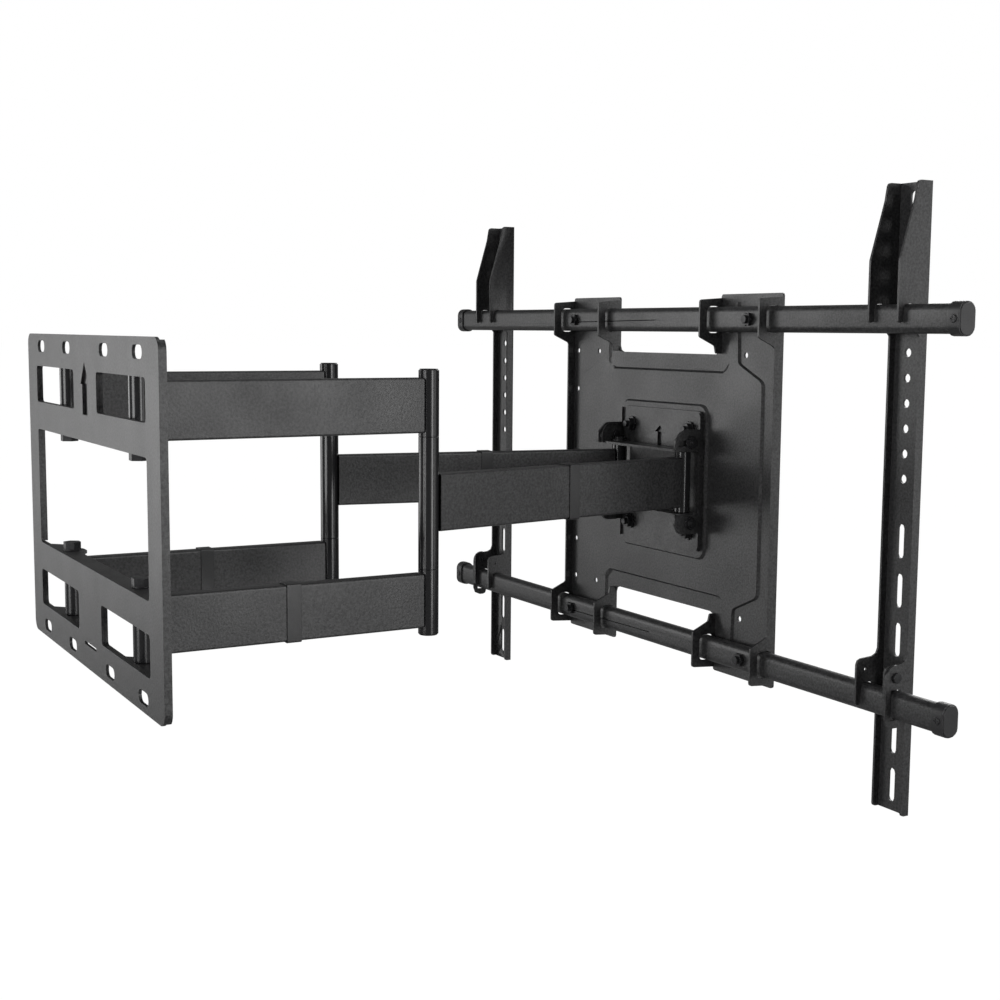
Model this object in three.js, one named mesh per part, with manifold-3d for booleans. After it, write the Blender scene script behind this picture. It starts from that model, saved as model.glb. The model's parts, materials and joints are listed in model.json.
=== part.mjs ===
// A dual-arm, full-motion TV wall mount, shown pulled out from the wall. Millimetres, +Z up.
// The wall lies on the +Y side of the plane Y = 0. The arms reach towards -Y and the screen hangs at
// the far end of them, facing -Y. "left" pieces are on the -X side, "right" pieces on the +X side.
import * as THREE from 'three';
import { mergeVertices } from 'three/addons/utils/BufferGeometryUtils.js';
import Module from 'manifold-3d';

const wasm = await Module();
wasm.setup();

const GAP = 0.3;                       // working gap left between touching pieces

// wall plate and its two channels
const PLATE = { halfW: 249, halfH: 167.3, t: 3, rim: 7.3, corner: 12 };
const WINDOW = { xIn: 44, xOut: 208.5, zLow: 93, zHigh: 132.4 };
const OPENING = { halfW: 209, halfH: 63 };
const WALL_SLOT = { xs: [72.7, 185], z: 153.9, len: 31, wide: 12.5 };
const LEVEL_SLOT = { z: -142, len: 46, wide: 3.5 };
const WALL_ARROW = { tip: 141, wide: 31, head: 22, stem: 19, tall: 52 };
const CHANNEL = { zIn: 63.5, zOut: 136.7, t: 3, depthIn: 20, depthOut: 8, lobe: 14 };

// linkage: wall pivots W, elbows E, head pivots H, all with vertical axes
const W = { x: 131.5, y: -15.5 };
const E = { x: 128.5, y: -312.7 };
const H = { x: 66, y: -676 };
const BAR = { zLow: 71.6, zHigh: 127, t: 18, wall: 2 };
const FOREARM_HALF = 29.3;
const WALL_TUBE = { r: 8.8, zLow: 67, zHigh: 133.2 };
const ELBOW_R = 10.5;
const ELBOW_TOP = 134.6;
const ELBOW_SEAM = 67.4;
const ELBOW_CAP = 0.9;
const HEAD_TUBE = { r: 9.3, half: 35.4 };
// the right-hand head pivot has play all round: a slim pin in a wide bore
const HEAD_BORE = { left: 4.7, right: 8 };
const SLIM_PIN_R = 2.5;
const CLIP = { proud: 1.2, armAt: 139, armLong: 15, forearmAt: 184, forearmLong: 14 };
const PIN_R = 4.4;
const TILT_PIN_R = 3;

// head: swivel bracket, tilting head plate
const SWIVEL = { z: 36, t: 3, front: -658, earFront: -657, back: -684, halfX: 78.9, webHalfX: 50 };
const HEAD = { halfX: 82.3, halfZ: 82.5, y: -691, t: 3, corner: 8, lip: 3 };
const HEAD_ARROW = { tip: 62, wide: 20, head: 8, stem: 8.5, tall: 32 };
const HEAD_BOLT = { x: 60, z: 61 };
const TILT = { y: -676, z: 47 };       // bolt centres, above and below; the lower ones are the axis

// screen side
const TV_X = 2;                        // middle of the screen plate
const TV_Z = -1;
const TV = { y: -700, t: 2.5, halfX: 211, halfZ: 218.5, notchX: 103.5, notchZ: 150, flange: 10, raise: 2.7 };
const PAD = { halfX: 88.5, halfZ: 91.5, raise: 3, corner: 12 };
const CLAMP_X = 178;
const RAIL = { y: -688.7, z: 189.8, depth: 16.6, tall: 28.5, r: 7, wall: 2, half: 491, shift: 11 };
const CAP = { long: 12, proud: 2.1, screwIn: 5 };
const EAR = { front: -668, low: 170, high: 212 };
const HANGER = { half: 21.2, web: -710, t: 2.5, top: 321, bottom: -308, flange: -702.7, seat: -697.3 };
const HOLES_IN = 1;                     // how far the hole column stands inboard of the hanger's middle
const HANGER_X = { left: -388.2, right: 418.3 };
const HOOK_FRONT = -674;
const HOOK_GAP = -679.9;
const LATCH = { y: -686, z: -163, r: 12.5, t: 2.5, hole: 2.8, plainHole: 1.8 };

const steel = (hex, rough) => () => new THREE.MeshStandardMaterial({
  color: hex, roughness: rough, metalness: 0.35 });
const coat = steel(0x2b2c2d, 0.5);
const glossCoat = steel(0x17181a, 0.28);
const boltBlack = steel(0x101112, 0.42);
const plastic = () => new THREE.MeshStandardMaterial({ color: 0x141516, roughness: 0.45, metalness: 0 });

const group = new THREE.Group();

// ---- solids -------------------------------------------------------------------------------------

function toSolid(geometry) {
  const plain = geometry.clone();
  plain.deleteAttribute('normal');
  plain.deleteAttribute('uv');
  const merged = mergeVertices(plain, 1e-4);
  return new wasm.Manifold(new wasm.Mesh({
    numProp: 3,
    vertProperties: new Float32Array(merged.attributes.position.array),
    triVerts: new Uint32Array(merged.index.array),
  }));
}

function toGeometry(solid) {
  const mesh = solid.getMesh();
  const geometry = new THREE.BufferGeometry();
  geometry.setAttribute('position', new THREE.BufferAttribute(new Float32Array(mesh.vertProperties), 3));
  geometry.setIndex(new THREE.BufferAttribute(new Uint32Array(mesh.triVerts), 1));
  const flat = geometry.toNonIndexed();
  flat.computeVertexNormals();
  return flat;
}

function join(first, ...rest) {
  return rest.reduce((sum, next) => sum.add(next), first);
}

function cut(first, ...tools) {
  return tools.reduce((rest, tool) => rest.subtract(tool), first);
}

function addPiece(name, solid, material, parent = group) {
  const mesh = new THREE.Mesh(toGeometry(solid), material());
  mesh.name = name;
  parent.add(mesh);
  return mesh;
}

// ---- outlines: lists of [u, v] points, turned into prisms ---------------------------------------

// Rounds the corners of a polygon; every point is [u, v] or [u, v, radius].
function rounded(points, radius = 0, steps = 2) {
  const out = [];
  const count = points.length;
  points.forEach((point, i) => {
    const prev = points[(i + count - 1) % count];
    const next = points[(i + 1) % count];
    const r = point[2] ?? radius;
    if (r <= 0) {
      out.push([point[0], point[1]]);
      return;
    }
    const here = new THREE.Vector2(point[0], point[1]);
    const toPrev = new THREE.Vector2(prev[0], prev[1]).sub(here).normalize();
    const toNext = new THREE.Vector2(next[0], next[1]).sub(here).normalize();
    const half = Math.acos(THREE.MathUtils.clamp(toPrev.dot(toNext), -1, 1)) / 2;
    const bisector = toPrev.clone().add(toNext).normalize();
    const centre = here.clone().addScaledVector(bisector, r / Math.sin(half));
    const start = here.clone().addScaledVector(toPrev, r / Math.tan(half)).sub(centre);
    const turn = Math.sign(toPrev.x * toNext.y - toPrev.y * toNext.x) * (Math.PI - 2 * half);
    for (let k = 0; k <= steps; k += 1) {
      const p = start.clone().rotateAround(new THREE.Vector2(), -turn * k / steps).add(centre);
      out.push([p.x, p.y]);
    }
  });
  return out;
}

function box2(u0, v0, u1, v1, r = 0, steps = 2) {
  return rounded([[u0, v0], [u1, v0], [u1, v1], [u0, v1]], r, steps);
}

function circle2(u, v, r, sides = 12) {
  const out = [];
  for (let k = 0; k < sides; k += 1) {
    const a = (k + 0.5) * 2 * Math.PI / sides;
    out.push([u + r * Math.cos(a), v + r * Math.sin(a)]);
  }
  return out;
}

function slot2(u, v, len, wide, upright = false, steps = 3) {
  const flat = len / 2;
  const half = wide / 2;
  const near = half - 0.01;
  return upright ? box2(u - half, v - flat, u + half, v + flat, near, steps)
    : box2(u - flat, v - half, u + flat, v + half, near, steps);
}

function shapeOf(outline, holes = []) {
  const shape = new THREE.Shape(outline.map((p) => new THREE.Vector2(p[0], p[1])));
  holes.forEach((hole) => shape.holes.push(new THREE.Path(hole.map((p) => new THREE.Vector2(p[0], p[1])))));
  return shape;
}

function extrude(outline, holes, depth) {
  return new THREE.ExtrudeGeometry(shapeOf(outline, holes), { depth, bevelEnabled: false, steps: 1 });
}

// outline in X, Y; the prism runs from z0 to z1
function prismZ(outline, z0, z1, holes = []) {
  const geometry = extrude(outline, holes, z1 - z0);
  geometry.translate(0, 0, z0);
  return toSolid(geometry);
}

// outline in X, Z; the prism runs from y0 to y1
function prismY(outline, y0, y1, holes = []) {
  const geometry = extrude(outline, holes, y1 - y0);
  geometry.rotateX(Math.PI / 2);
  geometry.translate(0, y1, 0);
  return toSolid(geometry);
}

// outline in Y, Z; the prism runs from x0 to x1
function prismX(outline, x0, x1, holes = []) {
  const geometry = extrude(outline, holes, x1 - x0);
  geometry.applyMatrix4(new THREE.Matrix4().makeBasis(
    new THREE.Vector3(0, 1, 0), new THREE.Vector3(0, 0, 1), new THREE.Vector3(1, 0, 0)));
  geometry.translate(x0, 0, 0);
  return toSolid(geometry);
}

// ring loft between two outlines in X, Z with the same number of points
function loftY(outerOutline, outerY, innerOutline, innerY) {
  const count = outerOutline.length;
  const points = [];
  outerOutline.forEach((p) => points.push(p[0], outerY, p[1]));
  innerOutline.forEach((p) => points.push(p[0], innerY, p[1]));
  const index = [];
  const caps = THREE.ShapeUtils.triangulateShape(
    outerOutline.map((p) => new THREE.Vector2(p[0], p[1])), []);
  caps.forEach(([a, b, c]) => {
    index.push(a, b, c);
    index.push(count + a, count + c, count + b);
  });
  for (let i = 0; i < count; i += 1) {
    const j = (i + 1) % count;
    index.push(i, count + i, j);
    index.push(j, count + i, count + j);
  }
  const geometry = new THREE.BufferGeometry();
  geometry.setAttribute('position', new THREE.Float32BufferAttribute(points, 3));
  geometry.setIndex(index);
  return toSolid(geometry);
}

// tube or rod on a vertical axis
function rodZ(x, y, r, z0, z1, sides = 20) {
  return prismZ(circle2(x, y, r, sides), z0, z1);
}

function tubeZ(x, y, r, bore, z0, z1, sides = 24) {
  return prismZ(circle2(x, y, r, sides), z0, z1, [circle2(x, y, bore)]);
}

function mirrorX(outline) {
  return outline.map((p) => [-p[0], p[1]]).reverse();
}

function mirrorZ(outline) {
  return outline.map((p) => [p[0], -p[1]]).reverse();
}

// ---- wall plate ---------------------------------------------------------------------------------

function windows() {
  const one = box2(WINDOW.xIn, WINDOW.zLow, WINDOW.xOut, WINDOW.zHigh, 4);
  return [one, mirrorX(one), mirrorZ(one), mirrorZ(mirrorX(one))];
}

// an upward arrow that shows which way up the plate goes
function arrow2(u, { tip, wide, head, stem, tall }) {
  return [[u, tip], [u - wide / 2, tip - head], [u - stem / 2, tip - head], [u - stem / 2, tip - tall],
    [u + stem / 2, tip - tall], [u + stem / 2, tip - head], [u + wide / 2, tip - head]].reverse();
}

function wallPlate() {
  const outline = box2(-PLATE.halfW, -PLATE.halfH, PLATE.halfW, PLATE.halfH, PLATE.corner, 6);
  const opening = box2(-OPENING.halfW, -OPENING.halfH, OPENING.halfW, OPENING.halfH, 4);
  const holes = [opening, ...windows(), arrow2(0, WALL_ARROW)];
  WALL_SLOT.xs.forEach((x) => [-1, 1].forEach((sx) => [-1, 1].forEach((sz) => {
    holes.push(slot2(sx * x, sz * WALL_SLOT.z, WALL_SLOT.len, WALL_SLOT.wide));
  })));
  holes.push(slot2(0, LEVEL_SLOT.z, LEVEL_SLOT.len, LEVEL_SLOT.wide, false, 3));
  const sheet = prismY(outline, -PLATE.t, 0, holes);
  // turned rims down both sides, and beside the opening
  const inner = box2(-PLATE.halfW + PLATE.t, -PLATE.halfH - 1, PLATE.halfW - PLATE.t, PLATE.halfH + 1,
    PLATE.corner - PLATE.t, 6);
  const sideRim = cut(prismY(outline, -PLATE.rim, -PLATE.t + 0.5), prismY(inner, -PLATE.rim - 1, 1));
  const rimZ = OPENING.halfH - 1;
  const rims = [-1, 1].map((s) => {
    const x = s * (OPENING.halfW + PLATE.t / 2);
    return prismY(box2(x - PLATE.t / 2, -rimZ, x + PLATE.t / 2, rimZ), -PLATE.rim, -PLATE.t + 0.5);
  });
  addPiece('wall_plate', join(sheet, sideRim, ...rims), coat);
}

// one U channel behind the plate; sign 1 above, -1 below
function channel(name, sign) {
  const yWeb = -PLATE.t - GAP;
  const halfX = PLATE.halfW - PLATE.t - 14;
  const zA = Math.min(sign * CHANNEL.zIn, sign * CHANNEL.zOut);
  const zB = Math.max(sign * CHANNEL.zIn, sign * CHANNEL.zOut);
  const openings = windows().filter((w) => Math.sign(w[0][1]) === sign);
  const web = prismY(box2(-halfX, zA, halfX, zB, 3), yWeb - CHANNEL.t, yWeb, openings);
  const bolts = [-1, 1].map((s) => circle2(s * W.x, W.y, PIN_R + 0.4, 14));
  const flange = (z, depth) => {
    const z0 = sign > 0 ? z : -z - CHANNEL.t;
    return prismZ(channelFlange(yWeb - 0.5, depth), z0, z0 + CHANNEL.t, bolts);
  };
  addPiece(name, join(web, flange(CHANNEL.zIn, CHANNEL.depthIn),
    flange(CHANNEL.zOut - CHANNEL.t, CHANNEL.depthOut)), coat);
}

// a channel's flange: a strip of the given depth with a lobe round each wall pivot
function channelFlange(yRoot, depth) {
  const { lobe } = CHANNEL;
  const step = depth > lobe ? 9 : 18;
  const right = [[W.x + 62, yRoot], [W.x + 46, W.y - 4, 4], [W.x + lobe + 4, W.y - 7, 4],
    [W.x + 8, W.y - lobe, 6], [W.x - 8, W.y - lobe, 6], [W.x - lobe - 6, W.y - 7, 4],
    [W.x - lobe - step, -depth, 3]];
  return rounded([...right, ...right.map((p) => [-p[0], p[1], p[2]]).reverse()], 0).reverse();
}

// hex-headed bolt with its nut at the other end, on a vertical axis
function wallBolt(name, x, sign) {
  const under = CHANNEL.zIn - GAP;
  const over = CHANNEL.zOut + GAP;
  const pieces = [prismZ(hex2(x, W.y, 8.2), under - 9, under), rodZ(x, W.y, 9.4, under - 1.5, under, 16),
    rodZ(x, W.y, PIN_R, under - 1, over + 8.5, 10), prismZ(hex2(x, W.y, 8.2), over, over + 6.5)];
  const solid = join(...pieces);
  addPiece(name, sign > 0 ? solid : solid.mirror([0, 0, 1]), boltBlack);
}

function hex2(u, v, across) {
  const r = across / Math.cos(Math.PI / 6);
  return [0, 1, 2, 3, 4, 5].map((k) => [u + r * Math.cos(k * Math.PI / 3), v + r * Math.sin(k * Math.PI / 3)]);
}

// ---- arms ---------------------------------------------------------------------------------------

// A rectangular tube from pivot A to pivot B, coped round the two pivot tubes.
function armBar(a, b, rA, rB, z0, z1) {
  const start = new THREE.Vector2(a.x, a.y);
  const end = new THREE.Vector2(b.x, b.y);
  const along = end.clone().sub(start);
  const len = along.length();
  const first = 9.5;
  const last = len - 9.5;
  const geometry = new THREE.ExtrudeGeometry(
    shapeOf(box2(-BAR.t / 2, z0, BAR.t / 2, z1, 2.5, 2),
      [box2(-BAR.t / 2 + BAR.wall, z0 + BAR.wall, BAR.t / 2 - BAR.wall, z1 - BAR.wall)]),
    { depth: last - first, bevelEnabled: false, steps: 1 });
  const dir = new THREE.Vector3(along.x / len, along.y / len, 0);
  const up = new THREE.Vector3(0, 0, 1);
  const side = new THREE.Vector3().crossVectors(up, dir);
  geometry.translate(0, 0, first);
  geometry.applyMatrix4(new THREE.Matrix4().makeBasis(side, up, dir).setPosition(start.x, start.y, 0));
  const cope = [rodZ(a.x, a.y, rA + GAP, z0 - 5, z1 + 5), rodZ(b.x, b.y, rB + GAP, z0 - 5, z1 + 5)];
  return { solid: cut(toSolid(geometry), ...cope), side, dir, start };
}

// thin sleeve that wraps an arm and keeps the cables in; station is measured from the first pivot
function clip(bar, z0, z1, station, long) {
  const geometry = new THREE.ExtrudeGeometry(
    shapeOf(box2(-BAR.t / 2 - CLIP.proud, z0 - CLIP.proud, BAR.t / 2 + CLIP.proud, z1 + CLIP.proud, 2, 2),
      [box2(-BAR.t / 2 - GAP, z0 - GAP, BAR.t / 2 + GAP, z1 + GAP)]),
    { depth: long, bevelEnabled: false, steps: 1 });
  geometry.translate(0, 0, station);
  geometry.applyMatrix4(new THREE.Matrix4().makeBasis(bar.side, new THREE.Vector3(0, 0, 1), bar.dir)
    .setPosition(bar.start.x, bar.start.y, 0));
  return toSolid(geometry);
}

function arm(side, sx) {
  const wallPivot = { x: sx * W.x, y: W.y };
  const elbow = { x: sx * E.x, y: E.y };
  [['upper', 1], ['lower', -1]].forEach(([level, sz]) => {
    const z0 = Math.min(sz * BAR.zLow, sz * BAR.zHigh);
    const z1 = Math.max(sz * BAR.zLow, sz * BAR.zHigh);
    const bar = armBar(wallPivot, elbow, WALL_TUBE.r, ELBOW_R, z0, z1);
    addPiece(`${side}_${level}_arm_bar`, bar.solid, coat);
    const tube = [sz * WALL_TUBE.zLow, sz * WALL_TUBE.zHigh].sort((p, q) => p - q);
    addPiece(`${side}_${level}_wall_tube`,
      tubeZ(wallPivot.x, wallPivot.y, WALL_TUBE.r, PIN_R + GAP, tube[0], tube[1]), glossCoat);
    const outer = [sz * (ELBOW_SEAM + GAP), sz * ELBOW_TOP].sort((p, q) => p - q);
    addPiece(`${side}_${level}_elbow_tube`,
      tubeZ(elbow.x, elbow.y, ELBOW_R, PIN_R + GAP, outer[0], outer[1], 28), glossCoat);
    if (level === 'lower') {
      addPiece(`${side}_arm_clip`, clip(bar, z0, z1, CLIP.armAt, CLIP.armLong), plastic);
    }
  });
  const cap = ELBOW_TOP + GAP;
  addPiece(`${side}_elbow_pin`, join(rodZ(elbow.x, elbow.y, PIN_R, -cap - 0.5, cap + 0.5, 10),
    rodZ(elbow.x, elbow.y, ELBOW_R - 1, cap, cap + ELBOW_CAP, 20),
    rodZ(elbow.x, elbow.y, ELBOW_R - 1, -cap - ELBOW_CAP, -cap, 20)), boltBlack);
}

function forearm(side, sx) {
  const elbow = { x: sx * E.x, y: E.y };
  const head = { x: sx * H.x, y: H.y };
  const half = FOREARM_HALF;
  const bar = armBar(elbow, head, ELBOW_R, HEAD_TUBE.r, -half, half);
  addPiece(`${side}_forearm_bar`, bar.solid, coat);
  addPiece(`${side}_forearm_elbow_tube`,
    tubeZ(elbow.x, elbow.y, ELBOW_R, PIN_R + GAP, -ELBOW_SEAM, ELBOW_SEAM, 28), glossCoat);
  addPiece(`${side}_forearm_head_tube`,
    tubeZ(head.x, head.y, HEAD_TUBE.r, HEAD_BORE[side], -HEAD_TUBE.half, HEAD_TUBE.half), glossCoat);
  addPiece(`${side}_forearm_clip`, clip(bar, -half, half, CLIP.forearmAt, CLIP.forearmLong), plastic);
}

// ---- head ---------------------------------------------------------------------------------------

function swivelBracket() {
  const { z, t, front, earFront, back, halfX, webHalfX } = SWIVEL;
  const outline = rounded([[-halfX, back], [halfX, back], [halfX, front, 10], [-halfX, front, 10]], 0);
  const pivots = [-1, 1].map((sx) => circle2(sx * H.x, H.y, PIN_R + 0.4, 14));
  const flanges = [prismZ(outline, z, z + t, pivots), prismZ(outline, -z - t, -z, pivots)];
  const web = prismY(box2(-webHalfX, -z - 1, webHalfX, z + 1), back, back + t);
  const ears = [];
  [-1, 1].forEach((sx) => [-1, 1].forEach((sz) => {
    const lobe = rounded([[back, 0], [back, 60, 4], [earFront - 6, 60, 7], [earFront, 50, 7], [earFront, 0]])
      .map((p) => [p[0], sz * p[1]]);
    const clipped = lobe.map((p) => [p[0], Math.abs(p[1]) < z + 1 ? sz * (z + 1) : p[1]]);
    const x0 = sx > 0 ? halfX - t : -halfX;
    const outlineEar = sz > 0 ? clipped.reverse() : clipped;
    ears.push(prismX(outlineEar, x0, x0 + t, [circle2(TILT.y, sz * TILT.z, TILT_PIN_R + GAP, 14)]));
  }));
  addPiece('swivel_bracket', join(...flanges, web, ...ears), coat);
}

function headPin(name, sx) {
  const x = sx * H.x;
  const shank = sx > 0 ? SLIM_PIN_R : PIN_R - 0.2;
  const top = SWIVEL.z + SWIVEL.t + GAP;
  addPiece(name, join(rodZ(x, H.y, shank, -top - 1, top + 1, 10),
    rodZ(x, H.y, 9, top, top + 1.6, 14), prismZ(hex2(x, H.y, 5.2), top + 1, top + 5),
    rodZ(x, H.y, 9, -top - 1.6, -top, 14), prismZ(hex2(x, H.y, 5.2), -top - 5, -top - 1)), boltBlack);
}

// short bolt that ties one ear of the head plate to the swivel bracket, on an X axis
function tiltBolt(name, sx, sz) {
  const round = (r, xa, xb, sides) => prismX(circle2(TILT.y, sz * TILT.z, r, sides),
    Math.min(sx * xa, sx * xb), Math.max(sx * xa, sx * xb));
  const ear = HEAD.halfX + GAP;
  const inner = SWIVEL.halfX - SWIVEL.t - GAP;
  addPiece(name, join(round(8, ear, ear + 1.2, 16), round(6.4, ear + 1, ear + 5, 6),
    round(TILT_PIN_R, inner - 2.4, ear + 6.2, 10),
    round(6, inner - 1.8, inner, 6)), boltBlack);
}

const TILT_UP = 3;
const TILT_DOWN = 10;

function tiltSlot() {
  const radius = 2 * TILT.z;
  const half = TILT_PIN_R + GAP;
  const at = (r, deg) => {
    const a = THREE.MathUtils.degToRad(deg);
    return [TILT.y + r * Math.sin(a), -TILT.z + r * Math.cos(a)];
  };
  const out = [];
  const steps = 5;
  for (let k = 0; k <= steps; k += 1) {
    out.push(at(radius + half, -TILT_UP + (TILT_UP + TILT_DOWN) * k / steps));
  }
  const endA = at(radius, TILT_DOWN);
  const endB = at(radius, -TILT_UP);
  for (let k = 1; k < 6; k += 1) {
    const a = THREE.MathUtils.degToRad(TILT_DOWN + 180 * k / 6);
    out.push([endA[0] + half * Math.sin(a), endA[1] + half * Math.cos(a)]);
  }
  for (let k = 0; k <= steps; k += 1) {
    out.push(at(radius - half, TILT_DOWN - (TILT_UP + TILT_DOWN) * k / steps));
  }
  for (let k = 1; k < 6; k += 1) {
    const a = THREE.MathUtils.degToRad(-TILT_UP + 180 + 180 * k / 6);
    out.push([endB[0] + half * Math.sin(a), endB[1] + half * Math.cos(a)]);
  }
  return out.reverse();
}

function headPlate() {
  const { halfX, halfZ, y, t, corner, lip } = HEAD;
  const outline = box2(-halfX, -halfZ, halfX, halfZ, corner, 4);
  const bolts = [];
  [-1, 1].forEach((sx) => [-1, 1].forEach((sz) => bolts.push(circle2(sx * HEAD_BOLT.x, sz * HEAD_BOLT.z, 4.4, 14))));
  const sheet = prismY(outline, y - t, y, [...bolts, arrow2(2, HEAD_ARROW)]);
  const rim = cut(prismY(outline, y - 0.5, y + lip),
    prismY(box2(-halfX + t, -halfZ - 1, halfX - t, halfZ + 1, 0), y - 2, y + lip + 1));
  const ear = rounded([[y - 1, 62], [y - 1, -60], [-665, -60, 6], [-654.5, -49, 6], [-654.5, -37, 3],
    [-688, -37, 3], [-688, 37, 3], [-653.2, 37, 3], [-653.2, 50, 7], [-665, 62, 8]], 0);
  const ears = [-1, 1].map((sx) => {
    const x0 = sx > 0 ? halfX - t : -halfX;
    return prismX(ear, x0, x0 + t, [tiltSlot(), circle2(TILT.y, -TILT.z, TILT_PIN_R + GAP, 14)]);
  });
  addPiece('head_plate', join(sheet, rim, ...ears), coat);
}

// carriage bolt through the screen plate, with a serrated nut on the head plate
function headBolt(name, sx, sz) {
  const x = sx * HEAD_BOLT.x;
  const z = sz * HEAD_BOLT.z;
  const front = HEAD.y + GAP;
  const padFront = TV.y + TV.raise + PAD.raise - TV.t;
  addPiece(name, join(prismY(circle2(x, z, 4, 8), padFront - 1, front + 12),
    prismY(star2(x, z, 9.5, 8, 10), front, front + 2.2), prismY(hex2(x, z, 6.6), front + 2, front + 8),
    prismY(circle2(x, z, 9, 12), padFront - GAP - 2, padFront - GAP)), boltBlack);
}

function star2(u, v, outer, inner, points) {
  const out = [];
  for (let k = 0; k < points * 2; k += 1) {
    const a = k * Math.PI / points;
    const r = k % 2 ? inner : outer;
    out.push([u + r * Math.cos(a), v + r * Math.sin(a)]);
  }
  return out;
}

// ---- screen plate -------------------------------------------------------------------------------

// the outline of the raised field: an octagon with four legs that run out beside the notches
function field(inset) {
  const a = 184.5 - inset;
  const quarter = [[a, 121 - inset * 0.4, 8], [141 - inset * 0.7, 141 - inset * 0.4, 6],
    [139 - inset, 209], [121 + inset, 209], [121 + inset, 131 - inset, 11]];
  const mirrored = (sx, sz) => quarter.map((p) => [sx * p[0], sz * p[1], p[2] ?? 0]);
  const loop = [...mirrored(1, 1), ...mirrored(-1, 1).reverse(), ...mirrored(-1, -1),
    ...mirrored(1, -1).reverse()];
  return rounded(loop, 0);
}

// the raised square pad that the head plate lies on
function padOutline(inset) {
  const x = PAD.halfX - inset;
  const z = PAD.halfZ - inset;
  return box2(-x, -z, x, z, PAD.corner, 3);
}

function screenPlate() {
  const { y, t, halfX, halfZ, notchX, notchZ, flange, raise } = TV;
  const outline = rounded([[halfX, -halfZ, 3], [halfX, halfZ, 3], [notchX, halfZ, 3], [notchX, notchZ, 8],
    [-notchX, notchZ, 8], [-notchX, halfZ, 3], [-halfX, halfZ, 3], [-halfX, -halfZ, 3],
    [-notchX, -halfZ, 3], [-notchX, -notchZ, 8], [notchX, -notchZ, 8], [notchX, -halfZ, 3]], 0);
  const screws = [];
  [-1, 1].forEach((sx) => [-1, 1].forEach((sz) => {
    [[200, 150], [150, 150], [200, 100]].forEach(([px, pz]) => {
      screws.push(circle2(sx * px, sz * pz, 3.6, 10));
    });
    screws.push(circle2(sx * CLAMP_X, sz * RAIL.z, 3.6, 8));
  }));
  screws.push(circle2(200, 0, 3.6, 10), circle2(-200, 0, 3.6, 10));
  const sheet = prismY(outline, y - t, y, screws);
  const raised = loftY(field(0), y - 0.01, field(2.5), y + raise);
  const recess = loftY(field(2.5), y - t - 0.01, field(5), y + raise - t);
  const padTop = y + raise + PAD.raise;
  const pad = loftY(padOutline(0), y + raise - 0.01, padOutline(2), padTop);
  const padBack = loftY(padOutline(3), y + raise - t - 0.02, padOutline(5), padTop - t);
  const bolts = [];
  [-1, 1].forEach((sx) => [-1, 1].forEach((sz) => {
    bolts.push(prismY(circle2(sx * HEAD_BOLT.x - TV_X, sz * HEAD_BOLT.z - TV_Z, 4.4, 14), y - 10, y + 20));
  }));
  // side flanges with an ear at each rail; profile in Y, Z
  const railHole = (sz) => box2(RAIL.y - RAIL.depth / 2 - 1, sz * RAIL.z - RAIL.tall / 2 - 1,
    RAIL.y + RAIL.depth / 2 + 2.6, sz * RAIL.z + RAIL.tall / 2 + 1, 6, 2);
  const back = y - t;
  const edge = y + flange;
  const sideProfile = rounded([[back, -halfZ + 4], [EAR.front, -EAR.high, 3], [EAR.front, -EAR.low, 3],
    [edge, -EAR.low + 10, 3], [edge, EAR.low - 10, 3], [EAR.front, EAR.low, 3], [EAR.front, EAR.high, 3],
    [back, halfZ - 4]].reverse(), 0);
  const sides = [-1, 1].map((sx) => {
    const x0 = sx > 0 ? halfX - t : -halfX;
    return prismX(sideProfile, x0, x0 + t, [railHole(1), railHole(-1)]);
  });
  const innerEars = [];
  [-1, 1].forEach((sx) => [-1, 1].forEach((sz) => {
    const profile = rounded([[back, notchZ + 1], [edge - 2, notchZ + 1, 2], [edge, EAR.low - 10, 3],
      [EAR.front, EAR.low, 3], [EAR.front, EAR.high, 3], [back, halfZ - 4]], 0);
    const placed = sz > 0 ? profile : mirrorZ(profile);
    const x0 = sx > 0 ? notchX : -notchX - t;
    innerEars.push(prismX(placed, x0, x0 + t, [railHole(sz)]));
  }));
  const body = cut(join(sheet, raised, pad), recess, padBack, ...bolts);
  const solid = join(body, ...sides, ...innerEars).translate([TV_X, 0, TV_Z]);
  addPiece('screen_plate', solid, coat);
}

// star-headed screw that clamps a rail to the screen plate
function clampScrew(name, sx, sz) {
  const x = TV_X + sx * CLAMP_X;
  const z = TV_Z + sz * RAIL.z;
  const front = RAIL.y + RAIL.depth / 2 + GAP;
  addPiece(name, join(prismY(star2(x, z, 8, 6.2, 6), front, front + 4), prismY(circle2(x, z, 4.6, 10),
    front + 3, front + 8), prismY(circle2(x, z, 3, 8), TV.y - TV.t - 3, front + 1)), boltBlack);
}

// ---- rails --------------------------------------------------------------------------------------

function railSection(grow) {
  const z = RAIL.tall / 2 + grow;
  const y = RAIL.depth / 2 + grow;
  return box2(-y, -z, y, z, Math.max(RAIL.r + grow, 1), 4);
}

function rail(name, sz) {
  const z = TV_Z + sz * RAIL.z;
  const move = (outline) => outline.map((p) => [p[0] + RAIL.y, p[1] + z]);
  const tube = prismX(move(railSection(0)), RAIL.shift - RAIL.half, RAIL.shift + RAIL.half,
    [move(railSection(-RAIL.wall))]);
  const holes = [-1, 1].map((sx) => prismY(circle2(TV_X + sx * CLAMP_X, z, 3.4, 8), RAIL.y - 30, RAIL.y + 30));
  addPiece(name, cut(tube, ...holes), coat);
}

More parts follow.
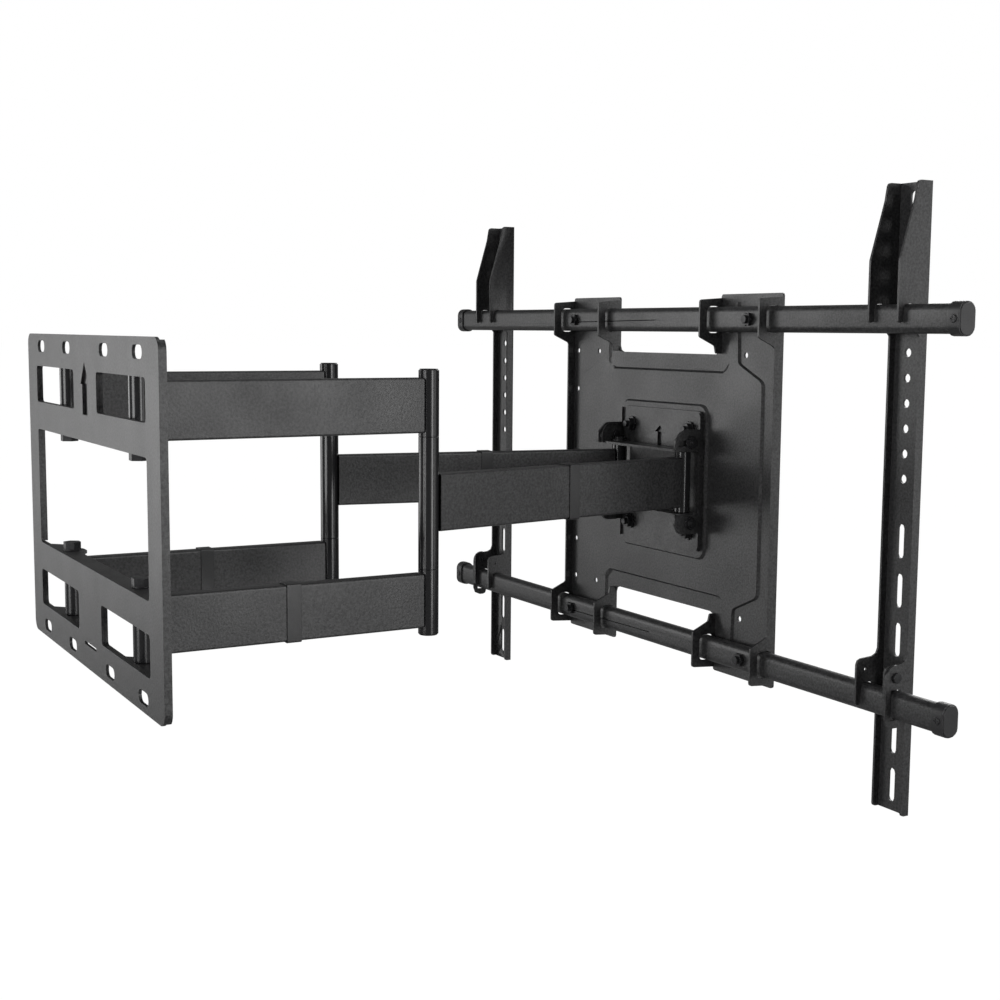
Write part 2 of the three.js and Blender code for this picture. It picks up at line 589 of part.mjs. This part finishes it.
function railCap(name, sx, sz) {
  const z = TV_Z + sz * RAIL.z;
  const move = (outline) => outline.map((p) => [p[0] + RAIL.y, p[1] + z]);
  const end = RAIL.shift + sx * RAIL.half;
  const span = (outline, from, to, holes = []) => prismX(move(outline),
    Math.min(end + sx * from, end + sx * to), Math.max(end + sx * from, end + sx * to), holes.map(move));
  const sleeve = span(railSection(CAP.proud), -CAP.long, GAP + 0.1, [railSection(GAP)]);
  const face = span(railSection(CAP.proud), GAP, 2.2);
  const crown = span(railSection(0.9), 2.1, 3.6);
  const screwX = end - sx * CAP.screwIn;
  const screwTop = RAIL.y + RAIL.depth / 2 + CAP.proud + 1.3;
  const screw = prismY(circle2(screwX, z, 4, 14), screwTop - 1.8, screwTop);
  const cross = [[2.6, 0.6], [0.6, 2.6]].map(([u, v]) => prismY(
    box2(screwX - u, z - v, screwX + u, z + v), screwTop - 0.9, screwTop + 1));
  addPiece(name, cut(join(sleeve, face, crown, screw), ...cross), plastic);
}

// ---- screen hangers -----------------------------------------------------------------------------

function hanger(name, x, sx) {
  const { half, web, t, top, bottom, flange, seat } = HANGER;
  const back = web - t;
  const column = x - sx * HOLES_IN;
  const holes = [slot2(column, 306, 14, 8, true, 3)];
  for (let z = 31; z < 300; z += 25) {
    holes.push(circle2(column, z, 4.5, 10));
  }
  for (let z = -31.5; z > -300; z -= 50) {
    holes.push(slot2(column, z, 35, 8.6, true, 2));
  }
  const sheet = prismY(box2(x - half, bottom, x + half, top), back, web, holes);
  const railTop = TV_Z + RAIL.z + RAIL.tall / 2 + GAP;
  const lowTop = TV_Z - RAIL.z + RAIL.tall / 2 + GAP;
  const profile = rounded([[back, top], [-694, top, 4], [-691, 303, 12], [HOOK_FRONT, 245, 8],
    [HOOK_FRONT, 185, 2.6], [HOOK_GAP, 185, 2.6], [HOOK_GAP, railTop, 5], [seat, railTop, 5],
    [seat, 178, 2], [flange, 172, 2],
    [flange, -150, 8], [HOOK_FRONT, -152, 6], [HOOK_FRONT, -199, 2.6], [HOOK_GAP, -199, 2.6],
    [HOOK_GAP, lowTop, 5], [seat, lowTop, 5], [seat, -200, 2], [flange, -206, 2],
    [flange, bottom, 3], [back, bottom]].reverse(), 0);
  const side = (s, hole) => {
    const outer = x + s * half;
    return prismX(profile, Math.min(outer, outer - s * t), Math.max(outer, outer - s * t),
      [circle2(LATCH.y, LATCH.z, hole, 12)]);
  };
  addPiece(name, join(sheet, side(sx, LATCH.hole), side(-sx, LATCH.plainHole)), coat);
}

// J-shaped safety catch that swings under the lower rail, outboard of the hanger
function latch(name, x, sx) {
  const outer = x + sx * HANGER.half;
  const near = outer + sx * GAP;
  const far = near + sx * LATCH.t;
  const railLow = TV_Z - RAIL.z - RAIL.tall / 2;
  const leg = LATCH.y + LATCH.r;
  const catchHook = rounded([[leg, LATCH.z], [leg, railLow - 9, 10], [-694, railLow - 9, 5],
    [-694, railLow - 0.6, 2], [HOOK_GAP, railLow - 0.6, 1], [HOOK_GAP, LATCH.z]], 0).reverse();
  const disc = prismX(circle2(LATCH.y, LATCH.z, LATCH.r, 20), Math.min(near, far), Math.max(near, far));
  const hook = prismX(catchHook, Math.min(near, far), Math.max(near, far));
  const hole = prismX(circle2(LATCH.y, LATCH.z, LATCH.hole, 12), Math.min(near, far) - 1, Math.max(near, far) + 1);
  addPiece(name, cut(join(disc, hook), hole), coat);
  const rod = (r, xa, xb, sides) => prismX(circle2(LATCH.y, LATCH.z, r, sides),
    Math.min(xa, xb), Math.max(xa, xb));
  addPiece(`${name}_screw`, join(rod(5.2, far + sx * GAP, far + sx * (GAP + 2.8), 16),
    rod(2.4, outer - sx * 5, far + sx * 1, 12)), boltBlack);
}

// ---- assembly -----------------------------------------------------------------------------------

wallPlate();
channel('upper_channel', 1);
channel('lower_channel', -1);
[['left', -1], ['right', 1]].forEach(([side, sx]) => {
  wallBolt(`${side}_upper_wall_bolt`, sx * W.x, 1);
  wallBolt(`${side}_lower_wall_bolt`, sx * W.x, -1);
  arm(side, sx);
  forearm(side, sx);
  headPin(`${side}_head_pin`, sx);
  hanger(`${side}_hanger`, HANGER_X[side], sx);
  latch(`${side}_latch`, HANGER_X[side], sx);
  [['upper', 1], ['lower', -1]].forEach(([level, sz]) => {
    tiltBolt(`${side}_${level}_tilt_bolt`, sx, sz);
    headBolt(`${side}_${level}_head_bolt`, sx, sz);
    clampScrew(`${side}_${level}_clamp_screw`, sx, sz);
    railCap(`${side}_${level}_rail_cap`, sx, sz);
  });
});
swivelBracket();
headPlate();
screenPlate();
rail('upper_rail', 1);
rail('lower_rail', -1);

export default group;
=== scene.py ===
"""Looks for the full-motion screen wall mount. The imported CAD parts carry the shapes; metres, +Z up."""

import json
import math

import bpy
from mathutils import Matrix, Vector

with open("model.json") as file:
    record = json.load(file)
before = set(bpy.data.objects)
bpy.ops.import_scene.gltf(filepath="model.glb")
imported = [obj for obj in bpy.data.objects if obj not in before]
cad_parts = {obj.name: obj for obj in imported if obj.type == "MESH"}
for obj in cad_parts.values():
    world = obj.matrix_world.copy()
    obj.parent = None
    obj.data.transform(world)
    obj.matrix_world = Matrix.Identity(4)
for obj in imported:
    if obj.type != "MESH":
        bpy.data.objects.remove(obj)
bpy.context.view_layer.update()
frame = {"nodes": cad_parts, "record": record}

MM = 0.001

# camera
LENS_MM = 53.84
SENSOR_MM = 36.0
CLIP_M = (0.05, 200.0)
CAMERA_AT = Vector((-1.47955, 0.36594, 0.17526))
YAW = math.radians(29.423)              # turn below the +X axis
PITCH = math.radians(6.492)             # looking down
ROLL = math.radians(0.4415)

# studio: the floor and the world look white, and give only part of that light to the object
FLOOR_Z = -0.62
FLOOR_HALF = 60.0
FLOOR_BOUNCE = 0.22
WORLD_BOUNCE = 0.14
LIGHTS = (                              # name, place, aim, width and height, watts
    ("wall_side", (2.6, 1.9, -0.1), (0, -0.2, 0), (1.8, 3.2), 54),
    ("behind_camera", (-1.0, 2.6, 0.2), (0, -0.5, 0), (1.4, 2.4), 56),
    ("near_side", (-2.6, -1.0, 0.0), (0, -0.4, 0), (0.8, 2.6), 34),
    ("screen_side", (-2.3, -2.8, 0.0), (0, -0.6, 0), (1.4, 2.6), 16),
    ("front_fill", (0.8, -3.4, 1.4), (0, -0.7, 0), (2.4, 1.6), 70),
    ("top", (0.0, -0.3, 2.6), (0, -0.3, 0), (1.0, 1.0), 8),
)

# finishing
EDGE_ANGLE = math.radians(40)           # edges sharper than this are broken
WELD_M = 0.01 * MM
BEVEL_SEGMENTS = 2


# ---- camera -------------------------------------------------------------------------------------

def make_camera():
    """Looks from the wall side, a little above the middle of the mount."""
    forward = Vector((math.cos(YAW) * math.cos(PITCH), -math.sin(YAW) * math.cos(PITCH), -math.sin(PITCH)))
    right = Vector((-math.sin(YAW), -math.cos(YAW), 0))
    up = right.cross(forward)
    rolled_right = math.cos(ROLL) * right + math.sin(ROLL) * up
    rolled_up = -math.sin(ROLL) * right + math.cos(ROLL) * up
    data = bpy.data.cameras.new("camera")
    data.lens = LENS_MM
    data.sensor_width = SENSOR_MM
    data.clip_start, data.clip_end = CLIP_M
    camera = bpy.data.objects.new("camera", data)
    bpy.context.scene.collection.objects.link(camera)
    turn = Matrix((rolled_right, rolled_up, -forward)).transposed().to_4x4()
    camera.matrix_world = Matrix.Translation(CAMERA_AT) @ turn
    bpy.context.scene.camera = camera


# ---- materials ----------------------------------------------------------------------------------

class Nodes:
    """A short way to build a node tree."""

    def __init__(self, name):
        self.material = bpy.data.materials.new(name)
        self.material.use_nodes = True
        self.tree = self.material.node_tree
        self.shader = self.tree.nodes["Principled BSDF"]
        self.coords = self.add("ShaderNodeTexCoord").outputs["Object"]

    def add(self, kind, **values):
        node = self.tree.nodes.new(kind)
        for key, value in values.items():
            node.inputs[key].default_value = value
        return node

    def link(self, out, into):
        self.tree.links.new(out, into)

    def noise(self, scale, detail=3.0, rough=0.55):
        node = self.add("ShaderNodeTexNoise", Scale=scale, Detail=detail, Roughness=rough)
        self.link(self.coords, node.inputs["Vector"])
        return node.outputs["Fac"]

    def spread(self, value, low, high, start=0.3, end=0.7):
        node = self.add("ShaderNodeMapRange")
        node.inputs["From Min"].default_value = start
        node.inputs["From Max"].default_value = end
        node.inputs["To Min"].default_value = low
        node.inputs["To Max"].default_value = high
        self.link(value, node.inputs["Value"])
        return node.outputs["Result"]

    def colours(self, value, dark, light, start=0.35, end=0.65):
        node = self.add("ShaderNodeValToRGB")
        node.color_ramp.elements[0].position = start
        node.color_ramp.elements[0].color = (*dark, 1)
        node.color_ramp.elements[1].position = end
        node.color_ramp.elements[1].color = (*light, 1)
        self.link(value, node.inputs["Fac"])
        return node.outputs["Color"]

    def bump(self, height, strength, distance, normal=None):
        node = self.add("ShaderNodeBump", Strength=strength, Distance=distance)
        self.link(height, node.inputs["Height"])
        if normal is not None:
            self.link(normal, node.inputs["Normal"])
        return node.outputs["Normal"]


def powder_coat(name, dark, light, rough, grain, grain_depth):
    """Textured black paint on steel: a fine orange-peel grain over slow, faint waves."""
    n = Nodes(name)
    speckle = n.noise(grain, detail=4.0, rough=0.6)
    cloud = n.noise(14.0, detail=2.0)
    n.link(n.colours(speckle, dark, light), n.shader.inputs["Base Color"])
    n.link(n.spread(cloud, rough - 0.04, rough + 0.05), n.shader.inputs["Roughness"])
    waves = n.bump(n.noise(60.0, detail=1.0), 0.12, 0.0004)
    n.link(n.bump(speckle, 0.5, grain_depth, waves), n.shader.inputs["Normal"])
    n.shader.inputs["Metallic"].default_value = 0.0
    n.shader.inputs["IOR"].default_value = 1.5
    n.shader.inputs["Specular IOR Level"].default_value = 0.6
    return n.material


def gloss_paint(name, dark, light, rough):
    """Smooth semi-gloss black paint on the turned tubes."""
    n = Nodes(name)
    speckle = n.noise(700.0, detail=3.0)
    n.link(n.colours(speckle, dark, light), n.shader.inputs["Base Color"])
    n.link(n.spread(n.noise(40.0), rough - 0.03, rough + 0.05), n.shader.inputs["Roughness"])
    n.link(n.bump(speckle, 0.25, 0.00006), n.shader.inputs["Normal"])
    n.shader.inputs["IOR"].default_value = 1.52
    return n.material


def black_oxide(name):
    """Chemically blackened steel of the bolts, pins and nuts."""
    n = Nodes(name)
    speckle = n.noise(500.0, detail=4.0)
    n.link(n.colours(speckle, (0.010, 0.010, 0.011), (0.026, 0.026, 0.028)), n.shader.inputs["Base Color"])
    n.link(n.spread(n.noise(120.0), 0.28, 0.44), n.shader.inputs["Roughness"])
    n.link(n.bump(speckle, 0.3, 0.00008), n.shader.inputs["Normal"])
    n.shader.inputs["Metallic"].default_value = 0.35
    return n.material


def moulded_plastic(name):
    """Fine-grained black plastic of the clips and rail caps."""
    n = Nodes(name)
    grain = n.noise(1800.0, detail=2.0)
    n.link(n.colours(grain, (0.014, 0.014, 0.015), (0.028, 0.028, 0.029)), n.shader.inputs["Base Color"])
    n.link(n.spread(n.noise(30.0), 0.32, 0.42), n.shader.inputs["Roughness"])
    n.link(n.bump(grain, 0.35, 0.00008), n.shader.inputs["Normal"])
    n.shader.inputs["IOR"].default_value = 1.48
    return n.material


# ---- finishing the CAD pieces -------------------------------------------------------------------

def soften(obj, width):
    """Breaks the sharp edges of a sheet-metal or turned piece and smooths its round faces."""
    for polygon in obj.data.polygons:
        polygon.use_smooth = True
    weld = obj.modifiers.new("weld", "WELD")
    weld.merge_threshold = WELD_M
    bevel = obj.modifiers.new("bevel", "BEVEL")
    bevel.width = width
    bevel.segments = BEVEL_SEGMENTS
    bevel.limit_method = "ANGLE"
    bevel.angle_limit = EDGE_ANGLE
    bevel.use_clamp_overlap = True
    bevel.harden_normals = False
    weighted = obj.modifiers.new("weighted", "WEIGHTED_NORMAL")
    weighted.mode = "FACE_AREA_WITH_ANGLE"
    weighted.weight = 80
    weighted.keep_sharp = False


def dress(names, material, width):
    """Gives the named CAD pieces their material and broken edges."""
    for name in names:
        obj = frame["nodes"][name]
        obj.data.materials.clear()
        obj.data.materials.append(material)
        soften(obj, width)


def slots():
    """The record's nodes, listed by material slot."""
    table = {}
    for entry in frame["record"]["subparts"]:
        table.setdefault(entry["material_slot"], []).append(entry["node"])
    return table


def dress_frame():
    coat = powder_coat("black_coat", (0.003, 0.003, 0.0035), (0.042, 0.042, 0.043), 0.40, 400.0, 0.00045)
    paint = gloss_paint("tube_paint", (0.008, 0.008, 0.009), (0.014, 0.014, 0.015), 0.19)
    oxide = black_oxide("black_oxide")
    plastic = moulded_plastic("black_plastic")
    by_slot = slots()
    dress(by_slot["coat"], coat, 0.5 * MM)
    dress(by_slot["tube_coat"], paint, 0.6 * MM)
    dress(by_slot["fastener"], oxide, 0.3 * MM)
    dress(by_slot["plastic"], plastic, 0.5 * MM)


# ---- studio -------------------------------------------------------------------------------------

def make_floor():
    """A wide pale floor that is white to the camera."""
    mesh = bpy.data.meshes.new("floor")
    signs = ((-1, -1), (1, -1), (1, 1), (-1, 1))
    corners = [(sx * FLOOR_HALF, sy * FLOOR_HALF, FLOOR_Z) for sx, sy in signs]
    mesh.from_pydata(corners, [], [(0, 1, 2, 3)])
    floor = bpy.data.objects.new("floor", mesh)
    bpy.context.scene.collection.objects.link(floor)
    n = Nodes("pale_floor")
    n.shader.inputs["Base Color"].default_value = (0.02, 0.02, 0.02, 1)
    n.shader.inputs["Roughness"].default_value = 1.0
    n.shader.inputs["Specular IOR Level"].default_value = 0.0
    n.shader.inputs["Emission Color"].default_value = (1, 1, 1, 1)
    seen = n.add("ShaderNodeLightPath").outputs["Is Camera Ray"]
    n.link(n.spread(seen, FLOOR_BOUNCE, 1.0, 0.0, 1.0), n.shader.inputs["Emission Strength"])
    mesh.materials.append(n.material)


def area_light(name, at, aim, size, power):
    data = bpy.data.lights.new(name, "AREA")
    data.shape = "RECTANGLE"
    data.size, data.size_y = size
    data.energy = power
    light = bpy.data.objects.new(name, data)
    bpy.context.scene.collection.objects.link(light)
    at, aim = Vector(at), Vector(aim)
    light.location = at
    light.rotation_euler = (aim - at).to_track_quat("-Z", "Y").to_euler()


def make_studio():
    """A white world and the softboxes round the mount."""
    world = bpy.data.worlds.new("studio")
    world.use_nodes = True
    tree = world.node_tree
    background = tree.nodes["Background"]
    background.inputs["Color"].default_value = (1, 1, 1, 1)
    seen = tree.nodes.new("ShaderNodeLightPath")
    strength = tree.nodes.new("ShaderNodeMapRange")
    strength.inputs["To Min"].default_value = WORLD_BOUNCE
    strength.inputs["To Max"].default_value = 1.0
    tree.links.new(seen.outputs["Is Camera Ray"], strength.inputs["Value"])
    tree.links.new(strength.outputs["Result"], background.inputs["Strength"])
    bpy.context.scene.world = world
    for light in LIGHTS:
        area_light(*light)


bpy.context.scene.view_settings.view_transform = "Standard"
make_camera()
dress_frame()
make_floor()
make_studio()
